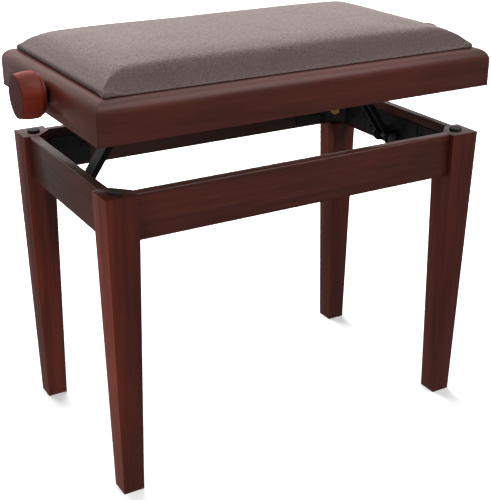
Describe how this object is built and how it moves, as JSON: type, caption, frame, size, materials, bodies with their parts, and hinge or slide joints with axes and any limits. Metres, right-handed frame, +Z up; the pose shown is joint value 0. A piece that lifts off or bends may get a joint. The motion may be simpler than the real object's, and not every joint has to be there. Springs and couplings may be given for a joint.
{
  "type": "piano bench",
  "caption": "Height-adjustable piano bench: padded seat on a screw-driven folding lift, tapered wooden legs and a turning knob at each end.",
  "frame": {"origin": "on the floor, under the middle of the seat", "axes": "+X along the bench to the right end, +Y to the rear, +Z up"},
  "size_m": [0.6206, 0.323, 0.5411],
  "materials": {
    "mahogany": "satin lacquer over red-brown stained wood, fine straight grain",
    "knob_wood": "satin lacquer, turned",
    "beech": "bare wood",
    "plywood": "bare plywood",
    "foam": "open-cell foam",
    "cushion_fabric": "short velour pile, taupe, finely speckled",
    "rubber": "matt",
    "black_nylon": "matt",
    "brass": "bright",
    "black_steel": "satin black",
    "zinc_steel": "zinc plated"
  },
  "bodies": {
    "base": {"leg_front_left": "mahogany", "leg_front_right": "mahogany", "leg_rear_left": "mahogany", "leg_rear_right": "mahogany", "rail_front": "mahogany", "rail_rear": "mahogany", "rail_left": "mahogany", "rail_right": "mahogany", "corner_bracket_front_left": "black_steel", "corner_bracket_front_right": "black_steel", "corner_bracket_rear_left": "black_steel", "corner_bracket_rear_right": "black_steel", "hanger_bolts": "brass", "hanger_nuts": "brass", "corner_screws": "black_steel", "leg_bumpers": "rubber", "base_bracket_left": "black_steel", "base_bracket_right": "black_steel", "base_bracket_screws": "black_steel", "base_pivot_left": "zinc_steel", "base_pivot_right": "zinc_steel", "base_pivot_nuts": "zinc_steel"},
    "seat": {"seat_rail_front": "mahogany", "seat_rail_rear": "mahogany", "seat_rail_left": "mahogany", "seat_rail_right": "mahogany", "corner_blocks": "beech", "block_screws": "zinc_steel", "seat_board": "plywood", "seat_foam": "foam", "seat_cover": "cushion_fabric", "seat_bracket_left": "black_steel", "seat_bracket_right": "black_steel", "seat_bracket_screws": "zinc_steel", "bush_left": "black_nylon", "bush_right": "black_nylon"},
    "spindle": {"spindle": "zinc_steel", "shaft_collars": "zinc_steel", "neck_collar_left": "black_steel", "neck_collar_right": "black_steel", "knob_left": "knob_wood", "knob_right": "knob_wood", "knob_pins": "zinc_steel"},
    "arm_left": {"lift_arm_left": "black_steel", "middle_pin_left": "zinc_steel", "middle_nuts_left": "zinc_steel"},
    "link_left": {"link_left": "black_steel", "link_pins_left": "zinc_steel"},
    "nut_left": {"spindle_nut_left": "brass"},
    "arm_right": {"lift_arm_right": "black_steel", "middle_pin_right": "zinc_steel", "middle_nuts_right": "zinc_steel"},
    "link_right": {"link_right": "black_steel", "link_pins_right": "zinc_steel"},
    "nut_right": {"spindle_nut_right": "brass"}
  },
  "joints": [
    {"name": "seat_lift", "type": "slide", "parent": "base", "child": "seat", "axis": [0, 0, 1], "range_m": [-0.0595, 0.012]},
    {"name": "spindle_turn", "type": "hinge", "parent": "seat", "child": "spindle", "pos_m": [0, 0, 0.486], "axis": [1, 0, 0], "range_deg": [-3391.6, 684.2]},
    {"name": "arm_left_pivot", "type": "hinge", "parent": "base", "child": "arm_left", "pos_m": [-0.236, 0, 0.35702], "axis": [0, -1, 0], "range_deg": [-30.2, 6.3]},
    {"name": "link_left_pivot", "type": "hinge", "parent": "arm_left", "child": "link_left", "pos_m": [-0.19168, 0, 0.42151], "axis": [0, -1, 0], "range_deg": [-12.3, 60.2]},
    {"name": "nut_left_travel", "type": "slide", "parent": "seat", "child": "nut_left", "axis": [1, 0, 0], "range_m": [-0.0116, 0.05672]},
    {"name": "arm_right_pivot", "type": "hinge", "parent": "base", "child": "arm_right", "pos_m": [0.236, 0, 0.35702], "axis": [0, 1, 0], "range_deg": [-30.2, 6.3]},
    {"name": "link_right_pivot", "type": "hinge", "parent": "arm_right", "child": "link_right", "pos_m": [0.19168, 0, 0.42151], "axis": [0, 1, 0], "range_deg": [-12.3, 60.2]},
    {"name": "nut_right_travel", "type": "slide", "parent": "seat", "child": "nut_right", "axis": [1, 0, 0], "range_m": [-0.05672, 0.0116]}
  ],
  "couplings": [
    {"joint": "spindle_turn", "follows": "seat_lift", "rad_per_m": 994.8},
    {"joint": "arm_left_pivot", "follows": "seat_lift", "rad_per_m": 8.8},
    {"joint": "link_left_pivot", "follows": "seat_lift", "rad_per_m": -17.6},
    {"joint": "nut_left_travel", "follows": "seat_lift", "ratio": -0.95},
    {"joint": "arm_right_pivot", "follows": "seat_lift", "rad_per_m": 8.8},
    {"joint": "link_right_pivot", "follows": "seat_lift", "rad_per_m": -17.6},
    {"joint": "nut_right_travel", "follows": "seat_lift", "ratio": 0.95}
  ]
}
